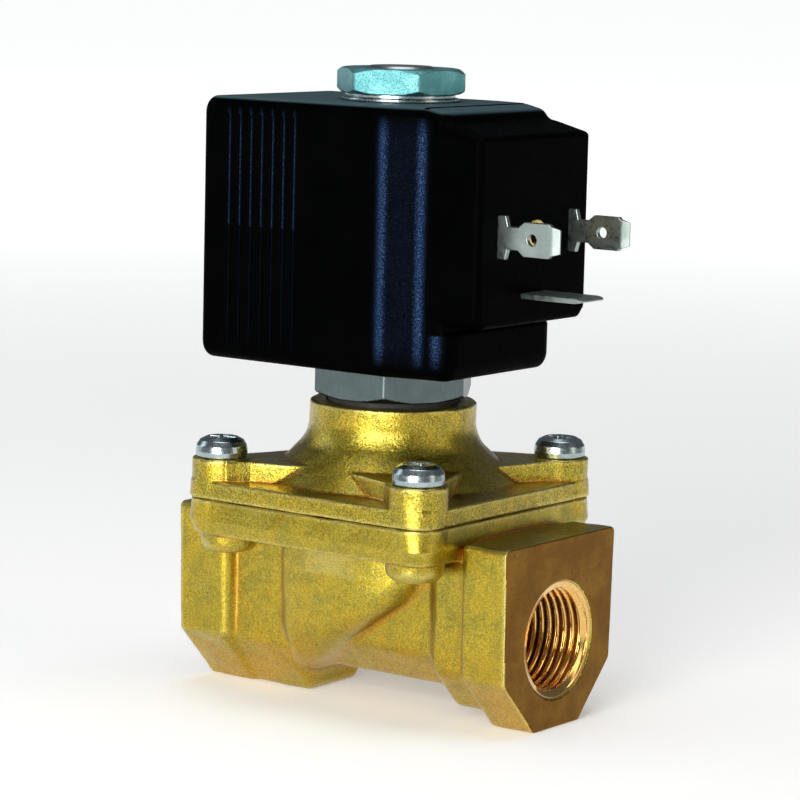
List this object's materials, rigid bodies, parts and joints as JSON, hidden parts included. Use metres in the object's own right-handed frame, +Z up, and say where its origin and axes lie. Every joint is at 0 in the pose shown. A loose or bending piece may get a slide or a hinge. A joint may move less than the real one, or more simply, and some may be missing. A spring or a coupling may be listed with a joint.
{
  "type": "solenoid valve",
  "caption": "Servo-assisted solenoid valve: forged brass body with threaded ports, screwed bonnet, armature tube and plug-in coil.",
  "frame": {"origin": "centre of the inlet port's mouth, on the flow axis", "axes": "+X in the direction of flow from inlet to outlet, +Z up along the armature tube, +Y to the left of the flow"},
  "size_m": [0.0641, 0.0446, 0.0943],
  "materials": {
    "brass_forging": "sand-blasted forging, satin",
    "brass_bonnet": "sand-blasted forging, satin",
    "turned_brass": "turned, bright",
    "zinc_steel": "bright zinc plate",
    "zinc_nut": "zinc plate with a faint blue-green tint",
    "turned_steel": "turned, satin",
    "stainless": "drawn, satin",
    "spring_steel": "drawn wire",
    "yoke_steel": "stamped sheet",
    "copper": "turned copper",
    "copper_wire": "enamelled copper wire",
    "tinned_brass": "tin plate",
    "rubber": "moulded",
    "membrane_rubber": "fabric-reinforced rubber",
    "coil_plastic": "fine-grained moulding",
    "bobbin_plastic": "moulded"
  },
  "bodies": {
    "valve": {"valve_body": "brass_forging", "bonnet": "brass_bonnet", "bonnet_screws": "zinc_steel", "pilot_seat": "turned_brass", "drain_seal": "rubber", "diaphragm": "membrane_rubber", "diaphragm_spring": "spring_steel", "tube_base": "turned_steel", "tube_seal": "rubber", "armature_tube": "stainless", "fixed_core": "turned_steel", "shading_ring": "copper", "plunger_spring": "spring_steel", "coil_washer": "zinc_steel", "lock_washer": "zinc_steel", "coil_nut": "zinc_nut"},
    "diaphragm_core": {"diaphragm_disc": "stainless", "diaphragm_washer": "stainless", "diaphragm_rivet": "turned_brass"},
    "armature": {"plunger": "stainless", "plunger_seal": "rubber"},
    "coil": {"coil_case": "coil_plastic", "bobbin": "bobbin_plastic", "winding": "copper_wire", "yoke_frame": "yoke_steel", "flux_sleeve": "yoke_steel", "coil_seal": "rubber", "line_terminal": "tinned_brass", "neutral_terminal": "tinned_brass", "earth_terminal": "tinned_brass", "plug_insert": "turned_brass"}
  },
  "joints": [
    {"name": "plunger_lift", "type": "slide", "parent": "valve", "child": "armature", "axis": [0, 0, 1], "range_m": [0, 0.0019], "stiffness_N_per_m": 300, "springref_m": -0.005, "deforming": ["plunger_spring"]},
    {"name": "diaphragm_lift", "type": "slide", "parent": "valve", "child": "diaphragm_core", "axis": [0, 0, 1], "range_m": [0, 0.003], "stiffness_N_per_m": 400, "springref_m": -0.004, "deforming": ["diaphragm_spring", "diaphragm"]},
    {"name": "coil_turn", "type": "hinge", "parent": "valve", "child": "coil", "pos_m": [0.0292, 0, 0.05], "axis": [0, 0, 1], "continuous": true}
  ]
}
